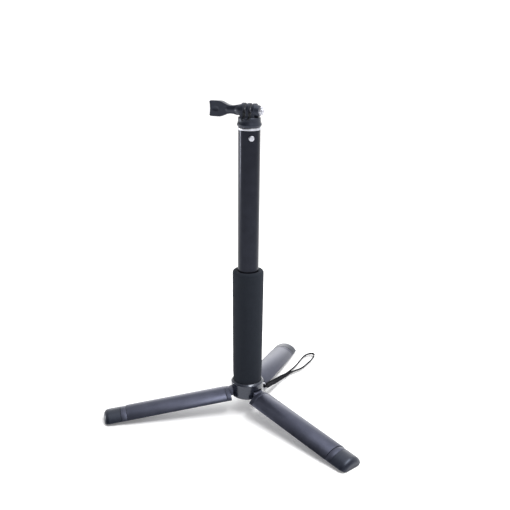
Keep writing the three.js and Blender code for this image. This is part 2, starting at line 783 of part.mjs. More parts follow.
/** A flat band swept along a curve; `widthAt` gives its width's direction and length. */
function band(curve, thickness, stations, widthAt) {
  const positions = [];
  const index = [];
  const steps = stations.length - 1;
  for (const u of stations) {
    const centre = curve.getPointAt(u);
    const along = curve.getTangentAt(u);
    const given = widthAt(u);
    const width = given.length();
    const wide = given.clone().addScaledVector(along, -given.dot(along)).normalize();
    const thin = new THREE.Vector3().crossVectors(along, wide);
    for (const [w, t] of [[-1, -1], [1, -1], [1, 1], [-1, 1]]) {
      const corner = centre.clone();
      corner.addScaledVector(wide, w * width / 2);
      corner.addScaledVector(thin, t * thickness / 2);
      positions.push(corner.x, corner.y, corner.z);
    }
  }
  for (let i = 0; i < steps; i += 1) {
    for (let k = 0; k < 4; k += 1) {
      const [a, b] = [4 * i + k, 4 * i + (k + 1) % 4];
      index.push(a, b, b + 4, a, b + 4, a + 4);
    }
  }
  const last = 4 * steps;
  index.push(0, 2, 1, 0, 3, 2);
  index.push(last, last + 1, last + 2, last, last + 2, last + 3);
  const geometry = new THREE.BufferGeometry();
  geometry.setAttribute('position', new THREE.Float32BufferAttribute(positions, 3));
  geometry.setIndex(index);
  return closed(geometry);
}

const UPRIGHT = new THREE.Vector3(0, 0, 1);
const LEANING = new THREE.Vector3(0, -0.73, 0.68);
const strapLength = strapCurve.getLength();
const strapWidth = (u) => {
  const fromLug = Math.min(u, 1 - u);
  const lean = THREE.MathUtils.smoothstep(fromLug, 0.12, 0.32);
  const spread = THREE.MathUtils.smoothstep(fromLug * strapLength, 2, 10);
  const width = THREE.MathUtils.lerp(STRAP_GATHERED, STRAP_WIDTH, spread);
  return UPRIGHT.clone().lerp(LEANING, lean).setLength(width);
};

// Short steps where the band bends round the lug's bar, longer ones further out.
const tight = 10 / strapLength;
const strapStations = [];
for (let i = 0; i < 14; i += 1) strapStations.push(tight * i / 14);
for (let i = 0; i < 50; i += 1) strapStations.push(tight + (1 - 2 * tight) * i / 50);
for (let i = 0; i <= 14; i += 1) strapStations.push(1 - tight + tight * i / 14);
const strap = band(strapCurve, STRAP_THICKNESS, strapStations, strapWidth);
add('wrist_strap', strap, 'webbing');

export default part;
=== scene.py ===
# Selfie stick with a fold-out mini tripod: the visible pieces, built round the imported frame.
# Shapes are written in millimetres and placed in metres, in the frame's axes.

import math

import bmesh
import bpy
from mathutils import Matrix, Vector


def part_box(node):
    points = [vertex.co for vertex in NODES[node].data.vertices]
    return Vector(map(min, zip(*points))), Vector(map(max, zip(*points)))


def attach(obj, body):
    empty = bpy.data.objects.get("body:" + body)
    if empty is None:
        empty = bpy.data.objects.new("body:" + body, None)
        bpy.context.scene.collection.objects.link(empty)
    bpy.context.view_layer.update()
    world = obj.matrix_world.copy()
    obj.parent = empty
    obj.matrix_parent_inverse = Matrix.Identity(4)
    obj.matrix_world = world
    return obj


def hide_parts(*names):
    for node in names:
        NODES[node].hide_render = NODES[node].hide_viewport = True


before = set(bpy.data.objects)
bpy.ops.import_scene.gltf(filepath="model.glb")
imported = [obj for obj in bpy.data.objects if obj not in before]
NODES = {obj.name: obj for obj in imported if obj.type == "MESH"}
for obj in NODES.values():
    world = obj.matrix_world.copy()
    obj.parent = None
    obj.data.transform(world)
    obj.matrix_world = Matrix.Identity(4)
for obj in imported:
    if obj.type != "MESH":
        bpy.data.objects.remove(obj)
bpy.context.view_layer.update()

MM = 0.001
SCENE = bpy.context.scene


# ------------------------------------------------------------------ camera

def add_camera():
    """The viewing angle: about 21 degrees down, along +Y."""
    data = bpy.data.cameras.new("camera")
    data.sensor_width = 36.0
    data.lens = 52.49
    data.shift_x = 0.01225
    data.shift_y = 0.0742
    camera = bpy.data.objects.new("camera", data)
    SCENE.collection.objects.link(camera)
    pitch = Matrix.Rotation(math.radians(68.71), 4, "X")
    roll = Matrix.Rotation(math.radians(0.49), 4, "Z")
    place = Matrix.Translation((0.00088, -0.77939, 0.45059))
    camera.matrix_world = place @ pitch @ roll
    data.clip_start = 0.01
    data.clip_end = 100
    SCENE.camera = camera


add_camera()


# ------------------------------------------------------------- mesh helpers

def mesh_of(name, verts, faces):
    """A mesh from points in millimetres."""
    mesh = bpy.data.meshes.new(name)
    mesh.from_pydata([[c * MM for c in v] for v in verts], [], faces)
    return mesh


def new_piece(name, shape, body, look, replaces, angle):
    """A piece from its points in millimetres and its faces."""
    return finish_piece(name, mesh_of(name, *shape), body, look, replaces, angle)


def finish_piece(name, mesh, body, look, replaces, angle):
    """A piece on a body, smooth except where its faces meet at more than an angle."""
    work = bmesh.new()
    work.from_mesh(mesh)
    bmesh.ops.remove_doubles(work, verts=work.verts, dist=1e-7)
    bmesh.ops.recalc_face_normals(work, faces=work.faces)
    work.to_mesh(mesh)
    work.free()
    mesh.shade_smooth()
    mesh.set_sharp_from_angle(angle=math.radians(angle))
    piece = bpy.data.objects.new(name, mesh)
    SCENE.collection.objects.link(piece)
    mesh.materials.clear()
    mesh.materials.append(LOOKS[look])
    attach(piece, body)
    if replaces:
        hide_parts(*replaces)
    return piece


def filleted(points, radius, steps):
    """Round a closed flat outline's corners. Each point is (x, y) or (x, y, its own radius)."""
    least = math.radians(12)
    count = len(points)
    out = []
    for i, point in enumerate(points):
        here = Vector(point[:2])
        r = point[2] if len(point) > 2 else radius
        before = Vector(points[i - 1][:2]) - here
        after = Vector(points[(i + 1) % count][:2]) - here
        turn = math.pi - before.angle(after)
        if r <= 0 or turn < least:
            out.append(tuple(here))
            continue
        reach = min(r * math.tan(turn / 2), 0.48 * before.length, 0.48 * after.length)
        start = here + before.normalized() * reach
        end = here + after.normalized() * reach
        for k in range(steps + 1):
            t = k / steps
            bend = start * (1 - t) ** 2 + here * 2 * t * (1 - t) + end * t * t
            out.append(tuple(bend))
    return out


def arc(u, v, radius, start, end, steps):
    """Points on an arc about (u, v), angles in degrees."""
    angles = [math.radians(start + (end - start) * i / steps) for i in range(steps + 1)]
    return [(u + radius * math.cos(a), v + radius * math.sin(a)) for a in angles]


def lathe(outline, segments=96):
    """Points and faces of a body of revolution about Z from (radius, z) points."""
    verts, faces, rings = [], [], []
    for r, z in outline:
        if r < 1e-6:
            rings.append([len(verts)] * segments)
            verts.append((0, 0, z))
            continue
        rings.append(list(range(len(verts), len(verts) + segments)))
        for k in range(segments):
            a = 2 * math.pi * k / segments
            verts.append((r * math.cos(a), r * math.sin(a), z))
    on_axis = outline[0][0] < 1e-6 and outline[-1][0] < 1e-6
    pairs = list(zip(rings, rings[1:]))
    if not on_axis:
        pairs.append((rings[-1], rings[0]))
    for low, high in pairs:
        for k in range(segments):
            m = (k + 1) % segments
            face = list(dict.fromkeys([low[k], low[m], high[m], high[k]]))
            if len(face) > 2:
                faces.append(face)
    return verts, faces


def loops_to_mesh(loops, caps=True):
    """Points and faces through a row of closed loops that have the same count."""
    size = len(loops[0])
    verts = [p for loop in loops for p in loop]
    faces = []
    for i in range(len(loops) - 1):
        for k in range(size):
            m = (k + 1) % size
            a, b = i * size, (i + 1) * size
            faces.append([a + k, a + m, b + m, b + k])
    if caps:
        faces.append(list(range(size))[::-1])
        last = (len(loops) - 1) * size
        faces.append([last + k for k in range(size)])
    return verts, faces


def inset_loop(points, amount):
    """Move a closed flat outline, which runs anticlockwise, inwards."""
    count = len(points)
    out = []
    for i in range(count):
        before = Vector(points[i - 1])
        here = Vector(points[i])
        after = Vector(points[(i + 1) % count])
        one = (here - before).normalized()
        two = (after - here).normalized()
        along = (one + two).normalized()
        normal = Vector((-along.y, along.x))
        stretch = max(0.5, abs(Vector((-one.y, one.x)).dot(normal)))
        out.append(tuple(here + normal * amount / stretch))
    return out


END_STEPS = 3


def rounded_ends(x0, x1, edge):
    """Stations along X as (x, inset), so that both end edges are rounded."""
    quarter = [math.pi / 2 * k / END_STEPS for k in range(END_STEPS + 1)]
    near = [(x0 + edge * (1 - math.cos(a)), edge * (1 - math.sin(a))) for a in quarter]
    far = [(x0 + x1 - x, inset) for x, inset in near[::-1]]
    return near + far


def drawn_out(outline, stations):
    """Loops of a flat (y, z) outline along X, each at its own (x, inset)."""
    return [[(x, y, z) for y, z in inset_loop(outline, inset)] for x, inset in stations]


def prism(outline, x0, x1, edge):
    """Points and faces of a flat (y, z) outline drawn out along X, with rounded end edges."""
    return loops_to_mesh(drawn_out(outline, rounded_ends(x0, x1, edge)))


def moved(shape, matrix):
    """A shape's points, moved by a matrix in millimetres, and its faces."""
    verts, faces = shape
    return [tuple(matrix @ Vector(v)) for v in verts], faces


def cad_copy(name):
    """A CAD node's shape as a fresh mesh with its doubled vertices merged."""
    mesh = NODES[name].data.copy()
    work = bmesh.new()
    work.from_mesh(mesh)
    bmesh.ops.remove_doubles(work, verts=work.verts, dist=1e-6)
    work.to_mesh(mesh)
    work.free()
    mesh.materials.clear()
    return mesh


def work_object(mesh):
    """A passing object that holds a mesh while modifiers work on it."""
    piece = bpy.data.objects.new("work", mesh)
    SCENE.collection.objects.link(piece)
    return piece


def applied(piece):
    """The piece's mesh with its modifiers applied; the piece itself is removed."""
    bpy.context.view_layer.update()
    graph = bpy.context.evaluated_depsgraph_get()
    mesh = bpy.data.meshes.new_from_object(piece.evaluated_get(graph))
    old = piece.data
    bpy.data.objects.remove(piece)
    bpy.data.meshes.remove(old)
    return mesh


def carved(mesh, tools):
    """Cut closed shapes, given as points and faces in millimetres, out of a mesh."""
    piece = work_object(mesh)
    cutters = []
    for shape in tools:
        tool = mesh_of("tool", *shape)
        work = bmesh.new()
        work.from_mesh(tool)
        bmesh.ops.recalc_face_normals(work, faces=work.faces)
        work.to_mesh(tool)
        work.free()
        cutter = work_object(tool)
        cutters.append(cutter)
        cutting = piece.modifiers.new("cut", "BOOLEAN")
        cutting.operation = "DIFFERENCE"
        cutting.solver = "EXACT"
        cutting.object = cutter
    result = applied(piece)
    for cutter in cutters:
        tool = cutter.data
        bpy.data.objects.remove(cutter)
        bpy.data.meshes.remove(tool)
    return result


def moulded(name, node, body, look, voxel, rounds, tools=()):
    """A moulded piece: the node's shape, remade with an even mesh and eased edges."""
    mesh = cad_copy(node)
    if tools:
        mesh = carved(mesh, tools)
    piece = work_object(mesh)
    remesh = piece.modifiers.new("remesh", "REMESH")
    remesh.mode = "VOXEL"
    remesh.voxel_size = voxel * MM
    ease = piece.modifiers.new("ease", "SMOOTH")
    ease.factor = 0.5
    ease.iterations = rounds
    return finish_piece(name, applied(piece), body, look, (node,), 60)


# ---------------------------------------------------------------- materials

class Look:
    """A node material on one Principled shader, built up from object-space patterns."""

    def __init__(self, name, colour, metallic, roughness, specular=0.5):
        self.material = bpy.data.materials.new(name)
        self.material.use_nodes = True
        self.tree = self.material.node_tree
        self.shader = self.tree.nodes["Principled BSDF"]
        self.shader.inputs["Base Color"].default_value = (*colour, 1)
        self.shader.inputs["Metallic"].default_value = metallic
        self.shader.inputs["Roughness"].default_value = roughness
        self.shader.inputs["Specular IOR Level"].default_value = specular
        self.place = self.tree.nodes.new("ShaderNodeTexCoord").outputs["Object"]
        self.height = None

    def node(self, kind, **values):
        """A new node, with some of its inputs or properties set."""
        made = self.tree.nodes.new(kind)
        for key, value in values.items():
            if key in made.inputs:
                made.inputs[key].default_value = value
            else:
                setattr(made, key, value)
        return made

    def link(self, start, end):
        self.tree.links.new(start, end)

    def noise(self, size, detail=3.0, rough=0.55, stretch=(1, 1, 1)):
        """Noise whose features are about size millimetres across."""
        grid = self.node("ShaderNodeMapping")
        scale = 1000.0 / size
        grid.inputs["Scale"].default_value = tuple(scale * s for s in stretch)
        self.link(self.place, grid.inputs["Vector"])
        noise = self.node("ShaderNodeTexNoise", Scale=1.0, Detail=detail, Roughness=rough)
        self.link(grid.outputs["Vector"], noise.inputs["Vector"])
        return noise.outputs["Fac"]

    def cells(self, size):
        """Rounded cells about size millimetres across."""
        grid = self.node("ShaderNodeMapping")
        grid.inputs["Scale"].default_value = (1000.0 / size,) * 3
        self.link(self.place, grid.inputs["Vector"])
        cells = self.node("ShaderNodeTexVoronoi", Scale=1.0)
        self.link(grid.outputs["Vector"], cells.inputs["Vector"])
        return cells.outputs["Distance"]

    def ramp(self, source, low, high, start=0.3, end=0.7):
        """Colours or greys from low to high as the source goes from start to end."""
        ramp = self.node("ShaderNodeValToRGB")
        ends = ramp.color_ramp.elements
        ends[0].position, ends[1].position = start, end
        for stop, value in zip(ends, (low, high)):
            stop.color = (*value, 1) if isinstance(value, tuple) else (value,) * 3 + (1,)
        self.link(source, ramp.inputs["Fac"])
        return ramp.outputs["Color"]

    def colour(self, source, low, high, start=0.3, end=0.7):
        self.link(self.ramp(source, low, high, start, end), self.shader.inputs["Base Color"])
        return self

    def roughness(self, source, low, high):
        self.link(self.ramp(source, low, high), self.shader.inputs["Roughness"])
        return self

    def bump(self, source, depth, strength):
        """Add relief about depth millimetres deep, on top of any earlier relief."""
        bump = self.node("ShaderNodeBump", Strength=strength, Distance=depth * MM)
        self.link(source, bump.inputs["Height"])
        if self.height:
            self.link(self.height, bump.inputs["Normal"])
        self.height = bump.outputs["Normal"]
        self.link(self.height, self.shader.inputs["Normal"])
        return self

    def mixed(self, a, b, factor):
        """Mix two greys, from all of the first at 0 to all of the second at 1."""
        mix = self.node("ShaderNodeMix", data_type="FLOAT")
        mix.inputs[0].default_value = factor
        self.link(a, mix.inputs[2])
        self.link(b, mix.inputs[3])
        return mix.outputs[0]


# The dark plastics reflect a little bluer than they are lit.
COOL_GLOSS = (0.72, 0.8, 1, 1)


def anodised_look():
    """The pole's black tube, drawn lengthwise."""
    look = Look("anodised", (0.014, 0.016, 0.023), 0.8, 0.27)
    drawn = look.noise(0.5, 4, 0.6, (1, 1, 0.02))
    grain = look.noise(0.12, 2)
    wear = look.noise(9, 4, 0.6)
    look.colour(wear, (0.011, 0.0125, 0.019), (0.017, 0.019, 0.028))
    look.roughness(look.mixed(drawn, wear, 0.4), 0.19, 0.28)
    return look.bump(drawn, 0.003, 0.5).bump(grain, 0.003, 0.5).material


def leg_look():
    """The legs' grey, fine blasted and anodised."""
    look = Look("leg_anodised", (0.085, 0.09, 0.115), 0.85, 0.4)
    grain = look.noise(0.22, 3, 0.65)
    wear = look.noise(14, 4, 0.6)
    look.colour(look.mixed(grain, wear, 0.5), (0.048, 0.052, 0.076), (0.078, 0.083, 0.116))
    look.roughness(look.mixed(grain, wear, 0.4), 0.33, 0.45)
    return look.bump(grain, 0.015, 0.6).material


def plastic_look(name, low, high, rough, relief=0.012, size=0.28):
    """Plastic or rubber with a fine moulded grain."""
    look = Look(name, low, 0.0, rough[0])
    look.shader.inputs["Specular Tint"].default_value = COOL_GLOSS
    grain = look.noise(size, 3, 0.6)
    wear = look.noise(6, 4, 0.6)
    look.colour(look.mixed(grain, wear, 0.6), low, high)
    look.roughness(look.mixed(grain, wear, 0.5), *rough)
    return look.bump(grain, relief, 0.6).material


def hub_look():
    """The hub's smoother plastic, with a thin gloss on top."""
    hub = plastic_look("hub_plastic", (0.01, 0.012, 0.02), (0.016, 0.018, 0.028), (0.22, 0.3),
                       0.006)
    shader = hub.node_tree.nodes["Principled BSDF"]
    shader.inputs["Coat Weight"].default_value = 0.6
    shader.inputs["Coat Roughness"].default_value = 0.13
    return hub


def foam_look():
    """Closed-cell foam with shallow pores, painted darker in their hollows as shade."""
    look = Look("foam", (0.02, 0.022, 0.027), 0.0, 0.9, 0.25)
    look.shader.inputs["Specular Tint"].default_value = COOL_GLOSS
    pores = look.cells(0.55)
    grain = look.noise(0.2, 4, 0.7)
    wear = look.noise(11, 4, 0.6)
    # The colour mixes random tone with painted shade, darker where the pores dip.
    look.colour(look.mixed(pores, wear, 0.55), (0.0105, 0.013, 0.0175), (0.019, 0.022, 0.0285))
    look.roughness(wear, 0.82, 0.95)
    return look.bump(pores, 0.08, 0.5).bump(grain, 0.05, 0.5).material


def metal_look(name, low, high, rough):
    """Bare metal, finely ground."""
    look = Look(name, low, 1.0, rough[0])
    lines = look.noise(0.3, 3, 0.6)
    wear = look.noise(4, 3)
    look.colour(wear, low, high)
    look.roughness(look.mixed(lines, wear, 0.4), *rough)
    return look.bump(lines, 0.004, 0.5).material


def webbing_look():
    """Woven nylon: ribs across the band, with a selvedge along both sides; the dips between the
    ribs are painted darker as shade.
    """
    look = Look("webbing", (0.008, 0.009, 0.012), 0.0, 0.85, 0.08)
    pitch = 0.9
    held = look.node("ShaderNodeAttribute", attribute_name="weave")
    spread = look.node("ShaderNodeSeparateXYZ")
    look.link(held.outputs["Vector"], spread.inputs[0])
    along, across = spread.outputs[0], spread.outputs[1]

    def wave(source, phase):
        turn = look.node("ShaderNodeMath", operation="MULTIPLY_ADD")
        look.link(source, turn.inputs[0])
        turn.inputs[1].default_value = 2 * math.pi / pitch
        turn.inputs[2].default_value = phase
        swing = look.node("ShaderNodeMath", operation="SINE")
        look.link(turn.outputs[0], swing.inputs[0])
        return swing.outputs[0]

    product = look.node("ShaderNodeMath", operation="MULTIPLY")
    look.link(wave(along, 0.0), product.inputs[0])
    look.link(wave(across, 0.8), product.inputs[1])
    weave = look.node("ShaderNodeMath", operation="MULTIPLY_ADD")
    look.link(product.outputs[0], weave.inputs[0])
    weave.inputs[1].default_value = 0.5
    weave.inputs[2].default_value = 0.5
    fuzz = look.noise(0.15, 4, 0.7)
    both = look.mixed(weave.outputs[0], fuzz, 0.35)
    # The colour mixes random fuzz with painted shade, darker in the dips of the weave.
    look.colour(both, (0.003, 0.0035, 0.005), (0.014, 0.015, 0.02), 0.2, 0.8)
    look.roughness(fuzz, 0.78, 0.95)
    return look.bump(weave.outputs[0], 0.12, 0.6).bump(fuzz, 0.05, 0.4).material


LOOKS = {
    "anodised": anodised_look(),
    "leg": leg_look(),
    "foam": foam_look(),
    "plastic": plastic_look("plastic", (0.009, 0.01, 0.016), (0.016, 0.018, 0.026), (0.36, 0.5)),
    "hub": hub_look(),
    "rubber": plastic_look("rubber", (0.008, 0.0095, 0.016), (0.013, 0.015, 0.023), (0.32, 0.42),
                           0.015, 0.4),
    "steel": metal_look("steel", (0.52, 0.53, 0.58), (0.66, 0.67, 0.73), (0.36, 0.5)),
    "brass": metal_look("brass", (0.5, 0.36, 0.15), (0.62, 0.46, 0.21), (0.25, 0.4)),
    "acetal": plastic_look("acetal", (0.72, 0.72, 0.7), (0.8, 0.8, 0.78), (0.4, 0.55), 0.004),
    "webbing": webbing_look(),
}
NODE_LOOKS = {
    "anodised": ("outer_tube", "section_2_tube", "section_3_tube", "section_4_tube"),
    "steel": ("trim_ring", "lock_button", "head_stud", "head_nut", "thumb_bolt", "tripod_screw",
              "strap_lug", "cover_screw", "hinge_pin"),
    "acetal": ("outer_tube_guide", "section_2_slider", "section_2_guide", "section_3_slider",
               "section_3_guide", "section_4_slider"),
    "foam": ("foam_grip",),
    "plastic": ("pole_plug", "head_fork", "thumb_knob"),
    "brass": ("pole_insert",),
    "hub": ("hub_body", "hub_cover", "leg_1_knuckle", "leg_2_knuckle", "leg_3_knuckle"),
    "leg": ("leg_1_tube", "leg_2_tube", "leg_3_tube", "leg_1_end", "leg_2_end", "leg_3_end"),
    "rubber": ("leg_1_foot", "leg_2_foot", "leg_3_foot", "leg_1_sole", "leg_2_sole",
               "leg_3_sole"),
    "webbing": ("wrist_strap",),
}
for look_name, starts in NODE_LOOKS.items():
    for node_name, node in NODES.items():
        if node_name.startswith(starts):
            node.data.materials.clear()
            node.data.materials.append(LOOKS[look_name])


# -------------------------------------------------------------- wrist strap

# The band's route, the same as its CAD solid's: out along one side, back along the other.
STRAP_WIDTH = 5.2
STRAP_GATHERED = 2.9
STRAP_THICKNESS = 0.98
STRAP_STEP = 0.9
STRAP_BACK = [
    (19.3, 4.15, 26.9), (19.5, 5.1, 26.9), (20.3, 5.9, 26.8), (21.3, 7.2, 26.3),
    (23.0, 10.2, 24.6), (28.7, 26.9, 19.1), (33.2, 39.6, 14.7), (41.7, 60.0, 9.0),
    (48.7, 73.6, 5.7), (54.6, 86.4, 3.8), (63.1, 102.4, 3.3), (70.3, 118.6, 3.3),
    (77.0, 133.0, 3.3), (82.9, 139.4, 3.3), (88.4, 140.9, 3.3), (90.8, 136.2, 3.3),
    (88.9, 129.5, 3.3), (85.9, 122.0, 3.3), (81.4, 113.5, 3.3), (71.2, 97.4, 3.3),
]
STRAP_OUT = [
    (19.4, 3.6, 26.9), (20.0, 2.8, 26.9), (21.2, 2.55, 26.9), (22.3, 3.4, 26.8),
    (22.9, 4.6, 26.5), (25.0, 9.0, 24.6), (30.6, 26.0, 18.9), (35.1, 38.6, 14.4),
    (43.6, 59.0, 8.8), (50.6, 72.6, 5.6), (56.6, 84.0, 3.8),
]
# The direction of the band's width where it lies; at the lug it stands upright.
STRAP_LEAN = Vector((0, -0.73, 0.68))


def catmull_rom(points, steps=30):
    """A centripetal Catmull-Rom curve through the points."""
    points = [Vector(p) for p in points]
    ends = [2 * points[0] - points[1], *points, 2 * points[-1] - points[-2]]
    out = []
    for p0, p1, p2, p3 in zip(ends, ends[1:], ends[2:], ends[3:]):
        d0, d1, d2 = ((b - a).length ** 0.5 for a, b in ((p0, p1), (p1, p2), (p2, p3)))
        t1 = ((p1 - p0) / d0 - (p2 - p0) / (d0 + d1) + (p2 - p1) / d1) * d1
        t2 = ((p2 - p1) / d1 - (p3 - p1) / (d1 + d2) + (p3 - p2) / d2) * d1
        for k in range(steps):
            t = k / steps
            bend = (2 * p1 - 2 * p2 + t1 + t2) * t ** 3
            out.append(p1 + t1 * t + (3 * p2 - 3 * p1 - 2 * t1 - t2) * t * t + bend)
    out.append(points[-1])
    return out


def evenly(points, step):
    """Points about a step apart along a polyline, and its length."""
    lengths = [0.0]
    for a, b in zip(points, points[1:]):
        lengths.append(lengths[-1] + (b - a).length)
    count = round(lengths[-1] / step)
    out, i = [], 0
    for k in range(count + 1):
        want = lengths[-1] * k / count
        while i < len(points) - 2 and lengths[i + 1] < want:
            i += 1
        part = (want - lengths[i]) / (lengths[i + 1] - lengths[i])
        out.append(points[i].lerp(points[i + 1], part))
    return out, lengths[-1]


def smoothstep(x, low, high):
    """From 0 below low to 1 above high, without a corner."""
    t = min(1, max(0, (x - low) / (high - low)))
    return t * t * (3 - 2 * t)


def add_strap():
    """The doubled band, with a thicker selvedge along each side."""
    route, length = evenly(catmull_rom(STRAP_BACK + STRAP_OUT[::-1]), STRAP_STEP)
    section = [
        (-1, -0.3), (-0.97, -0.44), (-0.88, -0.5), (-0.78, -0.46), (-0.7, -0.36), (-0.35, -0.35),
        (0, -0.35), (0.35, -0.35), (0.7, -0.36), (0.78, -0.46), (0.88, -0.5), (0.97, -0.44),
        (1, -0.3), (1, 0.3), (0.97, 0.44), (0.88, 0.5), (0.78, 0.46), (0.7, 0.36),
        (0.35, 0.35), (0, 0.35), (-0.35, 0.35), (-0.7, 0.36), (-0.78, 0.46), (-0.88, 0.5),
        (-0.97, 0.44), (-1, 0.3),
    ]
    loops, weave = [], []
    last = len(route) - 1
    for i, centre in enumerate(route):
        u = i / last
        along = (route[min(i + 1, last)] - route[max(i - 1, 0)]).normalized()
        lean = smoothstep(min(u, 1 - u), 0.12, 0.32)
        wide = Vector((0, 0, 1)).lerp(STRAP_LEAN, lean)
        wide = (wide - along * wide.dot(along)).normalized()
        thin = along.cross(wide)
        spread = smoothstep(min(u, 1 - u) * length, 2, 10)
        half = (STRAP_GATHERED + (STRAP_WIDTH - STRAP_GATHERED) * spread) / 2
        loops.append([tuple(centre + wide * w * half + thin * t * STRAP_THICKNESS)
                      for w, t in section])
        weave += [(u * length, w * half, 0) for w, t in section]
    mesh = mesh_of("wrist_strap_band", *loops_to_mesh(loops))
    held = mesh.attributes.new("weave", "FLOAT_VECTOR", "POINT")
    held.data.foreach_set("vector", [c for point in weave for c in point])
    band = finish_piece("wrist_strap_band", mesh, "tripod_hub", "webbing", ("wrist_strap",),
                        50)


add_strap()


# ---------------------------------------------------------------------- legs

LEG_AZIMUTHS = (191.2, 311.2, 71.2)
LEG_TILT = 6.8
LEG_R = 18.8
LEG_CORE_R = 5.5
LEG_WALL = 1.6
LEG_GAP = 0.3
BLOCK_START = 6.8
BLOCK_GROOVES = (10.1, 8.4)
TUBE_START = 12.35
TUBE_END = 128.3
LEG_END = 154.6
LOOP_POINTS = 120

# The hinge, from the hub's axis and the floor.
PIVOT_R = 14.65
PIVOT_Z = 26.05
EYE_R = 4.25
EYE_HALF = 5.95
EYE_TONGUE = ((7.0, -4.2), (7.0, 2.5))
PIN_BORE_R = 1.42

# The foot's cap, and the height of the tread under it.
CAP_START = 135.4
CAP_R = 18.35
CAP_CORE_R = 1.2
CAP_CORNER = 2.6
SOLE_TOP = 1.9
TREAD_GAP = 0.06
NOSE_LENGTH = 6.2
NOSE_DROP = 5.2
NOSE_NARROWING = 6.0
NOSE_HALF_WIDTH = 15.7
NOSE_LEVEL = -8.0
HEEL_LENGTH = 1.6
HEEL_SLOPE = 0.6


def on_leg(azimuth):
    """From a leg's own axes, X along it from the pivot, to the frame's, in millimetres."""
    turn = Matrix.Rotation(math.radians(azimuth), 4, "Z")
    place = Matrix.Translation((PIVOT_R, 0, PIVOT_Z))
    return turn @ place @ Matrix.Rotation(math.radians(LEG_TILT), 4, "Y")


def leg_section(radius, core, inset=0.0, corner=0.9):
    """A third of a round rod, about the axis that the folded legs share, with eased corners."""
    gap = LEG_GAP + inset
    r = radius - inset
    half = 60 - math.degrees(math.asin(gap / r))
    low = core + inset
    chord = low * math.tan(math.radians(60)) - gap / math.cos(math.radians(60))
    curve = arc(0, -PIVOT_R, r, 90 - half, 90 + half, 40)
    outline = [(-chord, low - PIVOT_R), (chord, low - PIVOT_R)]
    # Two points next to each end of the curve make room for the eased corner.
    outline += [(*curve[0], corner), *curve[3:-3], (*curve[-1], corner)]
    return filleted(outline, 1.0, 5)


def hollow(outer, inner, x0, x1, edge):
    """A hollow length of profile, with its outer end edges rounded."""
    loops = drawn_out(outer, rounded_ends(x0, x1, edge))
    back = [[(x, y, z) for y, z in inner] for x in (x1, x0)]
    return loops_to_mesh(loops + back + loops[:1], caps=False)


def evened(outline, count):
    """The same closed outline with its points evenly spaced, from its rightmost point."""
    start = max(range(len(outline)), key=lambda i: outline[i][0])
    ring = [Vector(p) for p in outline[start:] + outline[:start + 1]]
    points, _ = evenly(ring, sum((b - a).length for a, b in zip(ring, ring[1:])) / count)
    return [tuple(p) for p in points[:count]]


def floor_line(x, height):
    """Where a height above the floor comes in a leg's own axes, when the leg is open."""
    tilt = math.radians(LEG_TILT)
    return x * math.tan(tilt) + (height - PIVOT_Z) / math.cos(tilt)


def foot(start, end, low, high):
    """Part of the foot's rounded nose, between two heights above the floor."""
    base = evened(leg_section(CAP_R, CAP_CORE_R, 0, CAP_CORNER), LOOP_POINTS)
    top = max(z for y, z in base)
    nose = LEG_END - NOSE_LENGTH
    stations = [start, start + 0.5, start + HEEL_LENGTH]
    stations += [start + (nose - start) * k / 6 for k in range(1, 6)]
    stations += [nose + NOSE_LENGTH * math.sin(math.pi / 2 * k / 16) for k in range(17)]
    loops = []
    for x in stations:
        x = min(x, end)
        t = max(0.0, (x - nose) / NOSE_LENGTH)
        turn = 1 - math.sqrt(max(0.0, 1 - t * t))
        across = 1 - turn * NOSE_NARROWING / NOSE_HALF_WIDTH
        down = 1 - turn * NOSE_DROP / (top - NOSE_LEVEL)
        lowest = floor_line(x, low) + max(0.0, HEEL_LENGTH - (x - start)) * HEEL_SLOPE
        highest = floor_line(x, high)
        uncut = NOSE_LEVEL + (highest - NOSE_LEVEL) / down
        widest = math.sqrt(3) * (uncut + PIVOT_R) - 2 * LEG_GAP
        loop = []
        for y, z in base:
            level = NOSE_LEVEL + (z - NOSE_LEVEL) * down
            if level > highest:
                level = highest
                y = min(max(y, -widest), widest)
            loop.append((x, y * across, max(level, lowest)))
        loops.append(loop)
    return loops_to_mesh(loops)


def end_block():
    """The block at the hub end of a leg, with two fine grooves all round it."""
    base = evened(leg_section(LEG_R - 0.4, LEG_CORE_R + 0.3), LOOP_POINTS)
    stations = rounded_ends(BLOCK_START, TUBE_START - 0.1, 0.45)
    middle = END_STEPS + 1
    for x in BLOCK_GROOVES:
        stations[middle:middle] = [(x, 0), (x + 0.1, 0.4), (x + 0.45, 0.4), (x + 0.55, 0)]
    return loops_to_mesh(drawn_out(base, stations))


def hinge_eye():
    """The hinge eye and its tongue, bored for the pin, in the leg's own axes."""
    side = [*arc(0, 0, EYE_R, 90, 270, 24), *EYE_TONGUE]
    verts, faces = prism(side, -EYE_HALF, EYE_HALF, 0.4)
    mesh = mesh_of("eye", [(y, x, z) for x, y, z in verts], faces)
    bore = lathe([(0, -9), (PIN_BORE_R, -9), (PIN_BORE_R, 9), (0, 9)], 32)
    return carved(mesh, [moved(bore, Matrix.Rotation(math.radians(90), 4, "X"))])


